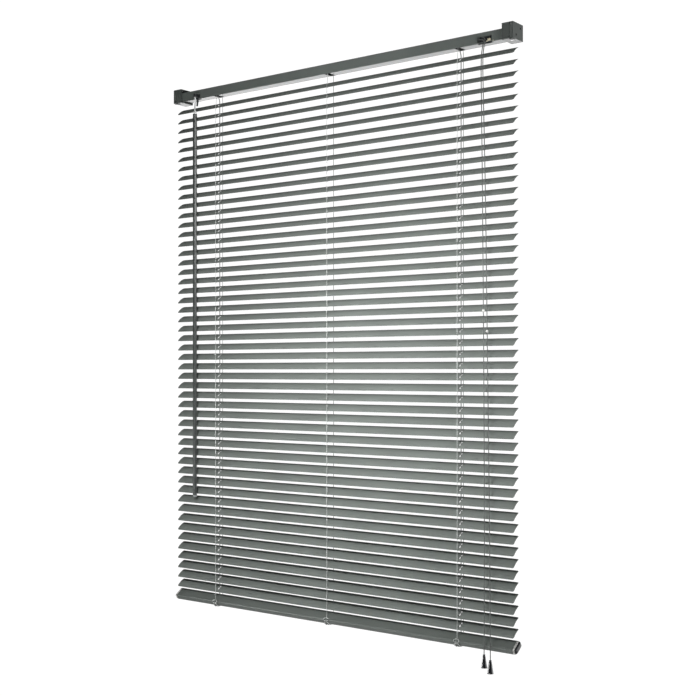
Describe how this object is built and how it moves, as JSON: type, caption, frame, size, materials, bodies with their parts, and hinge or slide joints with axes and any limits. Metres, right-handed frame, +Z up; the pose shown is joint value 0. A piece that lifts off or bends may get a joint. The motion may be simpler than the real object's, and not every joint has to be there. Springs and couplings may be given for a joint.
{
  "type": "venetian blind",
  "caption": "Horizontal aluminium slat blind with box brackets, steel headrail, ladder cords, tilt wand, cord lock, lift cords with tassels and a rounded bottom rail.",
  "frame": {"origin": "middle of the four ceiling screw holes, on the flat top of the two brackets", "axes": "+Z up out of the brackets' top, +X to the right seen from the room, -Y towards the room"},
  "size_m": [0.895, 0.0484, 1.2118],
  "materials": {
    "slat_paint": "satin grey stove enamel on aluminium strip",
    "rail_paint": "satin grey enamel on roll-formed steel",
    "bracket_paint": "satin grey enamel on pressed steel",
    "dark_plastic": "moulded, fine matt grain",
    "rod_steel": "zinc plated",
    "wand_plastic": "extruded, smooth",
    "ladder_cord": "braided polyester",
    "lift_cord": "braided polyester"
  },
  "bodies": {
    "rail_and_brackets": {"headrail": "rail_paint", "mounting_brackets": "bracket_paint", "headrail_fittings": "dark_plastic", "lift_cords": "lift_cord"},
    "tilt_rod": {"tilt_rod": "rod_steel"},
    "slat_01": {"slat_01": "slat_paint"},
    "slat_02": {"slat_02": "slat_paint"},
    "slat_03": {"slat_03": "slat_paint"},
    "slat_04": {"slat_04": "slat_paint"},
    "slat_05": {"slat_05": "slat_paint"},
    "slat_06": {"slat_06": "slat_paint"},
    "slat_07": {"slat_07": "slat_paint"},
    "slat_08": {"slat_08": "slat_paint"},
    "slat_09": {"slat_09": "slat_paint"},
    "slat_10": {"slat_10": "slat_paint"},
    "slat_11": {"slat_11": "slat_paint"},
    "slat_12": {"slat_12": "slat_paint"},
    "slat_13": {"slat_13": "slat_paint"},
    "slat_14": {"slat_14": "slat_paint"},
    "slat_15": {"slat_15": "slat_paint"},
    "slat_16": {"slat_16": "slat_paint"},
    "slat_17": {"slat_17": "slat_paint"},
    "slat_18": {"slat_18": "slat_paint"},
    "slat_19": {"slat_19": "slat_paint"},
    "slat_20": {"slat_20": "slat_paint"},
    "slat_21": {"slat_21": "slat_paint"},
    "slat_22": {"slat_22": "slat_paint"},
    "slat_23": {"slat_23": "slat_paint"},
    "slat_24": {"slat_24": "slat_paint"},
    "slat_25": {"slat_25": "slat_paint"},
    "slat_26": {"slat_26": "slat_paint"},
    "slat_27": {"slat_27": "slat_paint"},
    "slat_28": {"slat_28": "slat_paint"},
    "slat_29": {"slat_29": "slat_paint"},
    "slat_30": {"slat_30": "slat_paint"},
    "slat_31": {"slat_31": "slat_paint"},
    "slat_32": {"slat_32": "slat_paint"},
    "slat_33": {"slat_33": "slat_paint"},
    "slat_34": {"slat_34": "slat_paint"},
    "slat_35": {"slat_35": "slat_paint"},
    "slat_36": {"slat_36": "slat_paint"},
    "slat_37": {"slat_37": "slat_paint"},
    "slat_38": {"slat_38": "slat_paint"},
    "slat_39": {"slat_39": "slat_paint"},
    "slat_40": {"slat_40": "slat_paint"},
    "slat_41": {"slat_41": "slat_paint"},
    "slat_42": {"slat_42": "slat_paint"},
    "slat_43": {"slat_43": "slat_paint"},
    "slat_44": {"slat_44": "slat_paint"},
    "slat_45": {"slat_45": "slat_paint"},
    "slat_46": {"slat_46": "slat_paint"},
    "slat_47": {"slat_47": "slat_paint"},
    "slat_48": {"slat_48": "slat_paint"},
    "slat_49": {"slat_49": "slat_paint"},
    "slat_50": {"slat_50": "slat_paint"},
    "slat_51": {"slat_51": "slat_paint"},
    "bottom_rail": {"bottom_rail": "rail_paint"},
    "ladder_front": {"ladder_front": "ladder_cord"},
    "ladder_back": {"ladder_back": "ladder_cord"},
    "tilt_wand": {"tilt_wand": "wand_plastic"}
  },
  "joints": [
    {"name": "tilt_rod_turn", "type": "hinge", "parent": "rail_and_brackets", "child": "tilt_rod", "pos_m": [0, 0, -0.017], "axis": [1, 0, 0], "range_deg": [-100, 30]},
    {"name": "slat_01_tilt", "type": "hinge", "parent": "rail_and_brackets", "child": "slat_01", "pos_m": [0, 0, -0.0484], "axis": [1, 0, 0], "range_deg": [-100.2, 30.2]},
    {"name": "slat_02_tilt", "type": "hinge", "parent": "rail_and_brackets", "child": "slat_02", "pos_m": [0, 0, -0.07014], "axis": [1, 0, 0], "range_deg": [-100.2, 30.2]},
    {"name": "slat_03_tilt", "type": "hinge", "parent": "rail_and_brackets", "child": "slat_03", "pos_m": [0, 0, -0.09188], "axis": [1, 0, 0], "range_deg": [-100.2, 30.2]},
    {"name": "slat_04_tilt", "type": "hinge", "parent": "rail_and_brackets", "child": "slat_04", "pos_m": [0, 0, -0.11362], "axis": [1, 0, 0], "range_deg": [-100.2, 30.2]},
    {"name": "slat_05_tilt", "type": "hinge", "parent": "rail_and_brackets", "child": "slat_05", "pos_m": [0, 0, -0.13536], "axis": [1, 0, 0], "range_deg": [-100.2, 30.2]},
    {"name": "slat_06_tilt", "type": "hinge", "parent": "rail_and_brackets", "child": "slat_06", "pos_m": [0, 0, -0.1571], "axis": [1, 0, 0], "range_deg": [-100.2, 30.2]},
    {"name": "slat_07_tilt", "type": "hinge", "parent": "rail_and_brackets", "child": "slat_07", "pos_m": [0, 0, -0.17884], "axis": [1, 0, 0], "range_deg": [-100.2, 30.2]},
    {"name": "slat_08_tilt", "type": "hinge", "parent": "rail_and_brackets", "child": "slat_08", "pos_m": [0, 0, -0.20058], "axis": [1, 0, 0], "range_deg": [-100.2, 30.2]},
    {"name": "slat_09_tilt", "type": "hinge", "parent": "rail_and_brackets", "child": "slat_09", "pos_m": [0, 0, -0.22232], "axis": [1, 0, 0], "range_deg": [-100.2, 30.2]},
    {"name": "slat_10_tilt", "type": "hinge", "parent": "rail_and_brackets", "child": "slat_10", "pos_m": [0, 0, -0.24406], "axis": [1, 0, 0], "range_deg": [-100.2, 30.2]},
    {"name": "slat_11_tilt", "type": "hinge", "parent": "rail_and_brackets", "child": "slat_11", "pos_m": [0, 0, -0.2658], "axis": [1, 0, 0], "range_deg": [-100.2, 30.2]},
    {"name": "slat_12_tilt", "type": "hinge", "parent": "rail_and_brackets", "child": "slat_12", "pos_m": [0, 0, -0.28754], "axis": [1, 0, 0], "range_deg": [-100.2, 30.2]},
    {"name": "slat_13_tilt", "type": "hinge", "parent": "rail_and_brackets", "child": "slat_13", "pos_m": [0, 0, -0.30928], "axis": [1, 0, 0], "range_deg": [-100.2, 30.2]},
    {"name": "slat_14_tilt", "type": "hinge", "parent": "rail_and_brackets", "child": "slat_14", "pos_m": [0, 0, -0.33102], "axis": [1, 0, 0], "range_deg": [-100.2, 30.2]},
    {"name": "slat_15_tilt", "type": "hinge", "parent": "rail_and_brackets", "child": "slat_15", "pos_m": [0, 0, -0.35276], "axis": [1, 0, 0], "range_deg": [-100.2, 30.2]},
    {"name": "slat_16_tilt", "type": "hinge", "parent": "rail_and_brackets", "child": "slat_16", "pos_m": [0, 0, -0.3745], "axis": [1, 0, 0], "range_deg": [-100.2, 30.2]},
    {"name": "slat_17_tilt", "type": "hinge", "parent": "rail_and_brackets", "child": "slat_17", "pos_m": [0, 0, -0.39624], "axis": [1, 0, 0], "range_deg": [-100.2, 30.2]},
    {"name": "slat_18_tilt", "type": "hinge", "parent": "rail_and_brackets", "child": "slat_18", "pos_m": [0, 0, -0.41798], "axis": [1, 0, 0], "range_deg": [-100.2, 30.2]},
    {"name": "slat_19_tilt", "type": "hinge", "parent": "rail_and_brackets", "child": "slat_19", "pos_m": [0, 0, -0.43972], "axis": [1, 0, 0], "range_deg": [-100.2, 30.2]},
    {"name": "slat_20_tilt", "type": "hinge", "parent": "rail_and_brackets", "child": "slat_20", "pos_m": [0, 0, -0.46146], "axis": [1, 0, 0], "range_deg": [-100.2, 30.2]},
    {"name": "slat_21_tilt", "type": "hinge", "parent": "rail_and_brackets", "child": "slat_21", "pos_m": [0, 0, -0.4832], "axis": [1, 0, 0], "range_deg": [-100.2, 30.2]},
    {"name": "slat_22_tilt", "type": "hinge", "parent": "rail_and_brackets", "child": "slat_22", "pos_m": [0, 0, -0.50494], "axis": [1, 0, 0], "range_deg": [-100.2, 30.2]},
    {"name": "slat_23_tilt", "type": "hinge", "parent": "rail_and_brackets", "child": "slat_23", "pos_m": [0, 0, -0.52668], "axis": [1, 0, 0], "range_deg": [-100.2, 30.2]},
    {"name": "slat_24_tilt", "type": "hinge", "parent": "rail_and_brackets", "child": "slat_24", "pos_m": [0, 0, -0.54842], "axis": [1, 0, 0], "range_deg": [-100.2, 30.2]},
    {"name": "slat_25_tilt", "type": "hinge", "parent": "rail_and_brackets", "child": "slat_25", "pos_m": [0, 0, -0.57016], "axis": [1, 0, 0], "range_deg": [-100.2, 30.2]},
    {"name": "slat_26_tilt", "type": "hinge", "parent": "rail_and_brackets", "child": "slat_26", "pos_m": [0, 0, -0.5919], "axis": [1, 0, 0], "range_deg": [-100.2, 30.2]},
    {"name": "slat_27_tilt", "type": "hinge", "parent": "rail_and_brackets", "child": "slat_27", "pos_m": [0, 0, -0.61364], "axis": [1, 0, 0], "range_deg": [-100.2, 30.2]},
    {"name": "slat_28_tilt", "type": "hinge", "parent": "rail_and_brackets", "child": "slat_28", "pos_m": [0, 0, -0.63538], "axis": [1, 0, 0], "range_deg": [-100.2, 30.2]},
    {"name": "slat_29_tilt", "type": "hinge", "parent": "rail_and_brackets", "child": "slat_29", "pos_m": [0, 0, -0.65712], "axis": [1, 0, 0], "range_deg": [-100.2, 30.2]},
    {"name": "slat_30_tilt", "type": "hinge", "parent": "rail_and_brackets", "child": "slat_30", "pos_m": [0, 0, -0.67886], "axis": [1, 0, 0], "range_deg": [-100.2, 30.2]},
    {"name": "slat_31_tilt", "type": "hinge", "parent": "rail_and_brackets", "child": "slat_31", "pos_m": [0, 0, -0.7006], "axis": [1, 0, 0], "range_deg": [-100.2, 30.2]},
    {"name": "slat_32_tilt", "type": "hinge", "parent": "rail_and_brackets", "child": "slat_32", "pos_m": [0, 0, -0.72234], "axis": [1, 0, 0], "range_deg": [-100.2, 30.2]},
    {"name": "slat_33_tilt", "type": "hinge", "parent": "rail_and_brackets", "child": "slat_33", "pos_m": [0, 0, -0.74408], "axis": [1, 0, 0], "range_deg": [-100.2, 30.2]},
    {"name": "slat_34_tilt", "type": "hinge", "parent": "rail_and_brackets", "child": "slat_34", "pos_m": [0, 0, -0.76582], "axis": [1, 0, 0], "range_deg": [-100.2, 30.2]},
    {"name": "slat_35_tilt", "type": "hinge", "parent": "rail_and_brackets", "child": "slat_35", "pos_m": [0, 0, -0.78756], "axis": [1, 0, 0], "range_deg": [-100.2, 30.2]},
    {"name": "slat_36_tilt", "type": "hinge", "parent": "rail_and_brackets", "child": "slat_36", "pos_m": [0, 0, -0.8093], "axis": [1, 0, 0], "range_deg": [-100.2, 30.2]},
    {"name": "slat_37_tilt", "type": "hinge", "parent": "rail_and_brackets", "child": "slat_37", "pos_m": [0, 0, -0.83104], "axis": [1, 0, 0], "range_deg": [-100.2, 30.2]},
    {"name": "slat_38_tilt", "type": "hinge", "parent": "rail_and_brackets", "child": "slat_38", "pos_m": [0, 0, -0.85278], "axis": [1, 0, 0], "range_deg": [-100.2, 30.2]},
    {"name": "slat_39_tilt", "type": "hinge", "parent": "rail_and_brackets", "child": "slat_39", "pos_m": [0, 0, -0.87452], "axis": [1, 0, 0], "range_deg": [-100.2, 30.2]},
    {"name": "slat_40_tilt", "type": "hinge", "parent": "rail_and_brackets", "child": "slat_40", "pos_m": [0, 0, -0.89626], "axis": [1, 0, 0], "range_deg": [-100.2, 30.2]},
    {"name": "slat_41_tilt", "type": "hinge", "parent": "rail_and_brackets", "child": "slat_41", "pos_m": [0, 0, -0.918], "axis": [1, 0, 0], "range_deg": [-100.2, 30.2]},
    {"name": "slat_42_tilt", "type": "hinge", "parent": "rail_and_brackets", "child": "slat_42", "pos_m": [0, 0, -0.93974], "axis": [1, 0, 0], "range_deg": [-100.2, 30.2]},
    {"name": "slat_43_tilt", "type": "hinge", "parent": "rail_and_brackets", "child": "slat_43", "pos_m": [0, 0, -0.96148], "axis": [1, 0, 0], "range_deg": [-100.2, 30.2]},
    {"name": "slat_44_tilt", "type": "hinge", "parent": "rail_and_brackets", "child": "slat_44", "pos_m": [0, 0, -0.98322], "axis": [1, 0, 0], "range_deg": [-100.2, 30.2]},
    {"name": "slat_45_tilt", "type": "hinge", "parent": "rail_and_brackets", "child": "slat_45", "pos_m": [0, 0, -1.00496], "axis": [1, 0, 0], "range_deg": [-100.2, 30.2]},
    {"name": "slat_46_tilt", "type": "hinge", "parent": "rail_and_brackets", "child": "slat_46", "pos_m": [0, 0, -1.0267], "axis": [1, 0, 0], "range_deg": [-100.2, 30.2]},
    {"name": "slat_47_tilt", "type": "hinge", "parent": "rail_and_brackets", "child": "slat_47", "pos_m": [0, 0, -1.04844], "axis": [1, 0, 0], "range_deg": [-100.2, 30.2]},
    {"name": "slat_48_tilt", "type": "hinge", "parent": "rail_and_brackets", "child": "slat_48", "pos_m": [0, 0, -1.07018], "axis": [1, 0, 0], "range_deg": [-100.2, 30.2]},
    {"name": "slat_49_tilt", "type": "hinge", "parent": "rail_and_brackets", "child": "slat_49", "pos_m": [0, 0, -1.09192], "axis": [1, 0, 0], "range_deg": [-100.2, 30.2]},
    {"name": "slat_50_tilt", "type": "hinge", "parent": "rail_and_brackets", "child": "slat_50", "pos_m": [0, 0, -1.11366], "axis": [1, 0, 0], "range_deg": [-100.2, 30.2]},
    {"name": "slat_51_tilt", "type": "hinge", "parent": "rail_and_brackets", "child": "slat_51", "pos_m": [0, 0, -1.1354], "axis": [1, 0, 0], "range_deg": [-100.2, 30.2]},
    {"name": "bottom_rail_tilt", "type": "hinge", "parent": "rail_and_brackets", "child": "bottom_rail", "pos_m": [0, 0, -1.1615], "axis": [1, 0, 0], "range_deg": [-100.2, 30.2]},
    {"name": "ladder_front_sway", "type": "hinge", "parent": "tilt_rod", "child": "ladder_front", "pos_m": [0, -0.01139, -0.02497], "axis": [1, 0, 0], "range_deg": [-30.2, 100.2], "deforming": ["ladder_front"]},
    {"name": "ladder_back_sway", "type": "hinge", "parent": "tilt_rod", "child": "ladder_back", "pos_m": [0, 0.01139, -0.00903], "axis": [1, 0, 0], "range_deg": [-30.2, 100.2], "deforming": ["ladder_back"]},
    {"name": "wand_turn", "type": "hinge", "parent": "rail_and_brackets", "child": "tilt_wand", "pos_m": [-0.374, -0.0215, -0.064], "axis": [0, 0, 1], "range_deg": [-1202, 362]}
  ],
  "couplings": [
    {"joint": "slat_01_tilt", "follows": "tilt_rod_turn", "ratio": 1},
    {"joint": "slat_02_tilt", "follows": "tilt_rod_turn", "ratio": 1},
    {"joint": "slat_03_tilt", "follows": "tilt_rod_turn", "ratio": 1},
    {"joint": "slat_04_tilt", "follows": "tilt_rod_turn", "ratio": 1},
    {"joint": "slat_05_tilt", "follows": "tilt_rod_turn", "ratio": 1},
    {"joint": "slat_06_tilt", "follows": "tilt_rod_turn", "ratio": 1},
    {"joint": "slat_07_tilt", "follows": "tilt_rod_turn", "ratio": 1},
    {"joint": "slat_08_tilt", "follows": "tilt_rod_turn", "ratio": 1},
    {"joint": "slat_09_tilt", "follows": "tilt_rod_turn", "ratio": 1},
    {"joint": "slat_10_tilt", "follows": "tilt_rod_turn", "ratio": 1},
    {"joint": "slat_11_tilt", "follows": "tilt_rod_turn", "ratio": 1},
    {"joint": "slat_12_tilt", "follows": "tilt_rod_turn", "ratio": 1},
    {"joint": "slat_13_tilt", "follows": "tilt_rod_turn", "ratio": 1},
    {"joint": "slat_14_tilt", "follows": "tilt_rod_turn", "ratio": 1},
    {"joint": "slat_15_tilt", "follows": "tilt_rod_turn", "ratio": 1},
    {"joint": "slat_16_tilt", "follows": "tilt_rod_turn", "ratio": 1},
    {"joint": "slat_17_tilt", "follows": "tilt_rod_turn", "ratio": 1},
    {"joint": "slat_18_tilt", "follows": "tilt_rod_turn", "ratio": 1},
    {"joint": "slat_19_tilt", "follows": "tilt_rod_turn", "ratio": 1},
    {"joint": "slat_20_tilt", "follows": "tilt_rod_turn", "ratio": 1},
    {"joint": "slat_21_tilt", "follows": "tilt_rod_turn", "ratio": 1},
    {"joint": "slat_22_tilt", "follows": "tilt_rod_turn", "ratio": 1},
    {"joint": "slat_23_tilt", "follows": "tilt_rod_turn", "ratio": 1},
    {"joint": "slat_24_tilt", "follows": "tilt_rod_turn", "ratio": 1},
    {"joint": "slat_25_tilt", "follows": "tilt_rod_turn", "ratio": 1},
    {"joint": "slat_26_tilt", "follows": "tilt_rod_turn", "ratio": 1},
    {"joint": "slat_27_tilt", "follows": "tilt_rod_turn", "ratio": 1},
    {"joint": "slat_28_tilt", "follows": "tilt_rod_turn", "ratio": 1},
    {"joint": "slat_29_tilt", "follows": "tilt_rod_turn", "ratio": 1},
    {"joint": "slat_30_tilt", "follows": "tilt_rod_turn", "ratio": 1},
    {"joint": "slat_31_tilt", "follows": "tilt_rod_turn", "ratio": 1},
    {"joint": "slat_32_tilt", "follows": "tilt_rod_turn", "ratio": 1},
    {"joint": "slat_33_tilt", "follows": "tilt_rod_turn", "ratio": 1},
    {"joint": "slat_34_tilt", "follows": "tilt_rod_turn", "ratio": 1},
    {"joint": "slat_35_tilt", "follows": "tilt_rod_turn", "ratio": 1},
    {"joint": "slat_36_tilt", "follows": "tilt_rod_turn", "ratio": 1},
    {"joint": "slat_37_tilt", "follows": "tilt_rod_turn", "ratio": 1},
    {"joint": "slat_38_tilt", "follows": "tilt_rod_turn", "ratio": 1},
    {"joint": "slat_39_tilt", "follows": "tilt_rod_turn", "ratio": 1},
    {"joint": "slat_40_tilt", "follows": "tilt_rod_turn", "ratio": 1},
    {"joint": "slat_41_tilt", "follows": "tilt_rod_turn", "ratio": 1},
    {"joint": "slat_42_tilt", "follows": "tilt_rod_turn", "ratio": 1},
    {"joint": "slat_43_tilt", "follows": "tilt_rod_turn", "ratio": 1},
    {"joint": "slat_44_tilt", "follows": "tilt_rod_turn", "ratio": 1},
    {"joint": "slat_45_tilt", "follows": "tilt_rod_turn", "ratio": 1},
    {"joint": "slat_46_tilt", "follows": "tilt_rod_turn", "ratio": 1},
    {"joint": "slat_47_tilt", "follows": "tilt_rod_turn", "ratio": 1},
    {"joint": "slat_48_tilt", "follows": "tilt_rod_turn", "ratio": 1},
    {"joint": "slat_49_tilt", "follows": "tilt_rod_turn", "ratio": 1},
    {"joint": "slat_50_tilt", "follows": "tilt_rod_turn", "ratio": 1},
    {"joint": "slat_51_tilt", "follows": "tilt_rod_turn", "ratio": 1},
    {"joint": "bottom_rail_tilt", "follows": "tilt_rod_turn", "ratio": 1},
    {"joint": "ladder_front_sway", "follows": "tilt_rod_turn", "ratio": -1},
    {"joint": "ladder_back_sway", "follows": "tilt_rod_turn", "ratio": -1},
    {"joint": "wand_turn", "follows": "tilt_rod_turn", "ratio": 12}
  ]
}
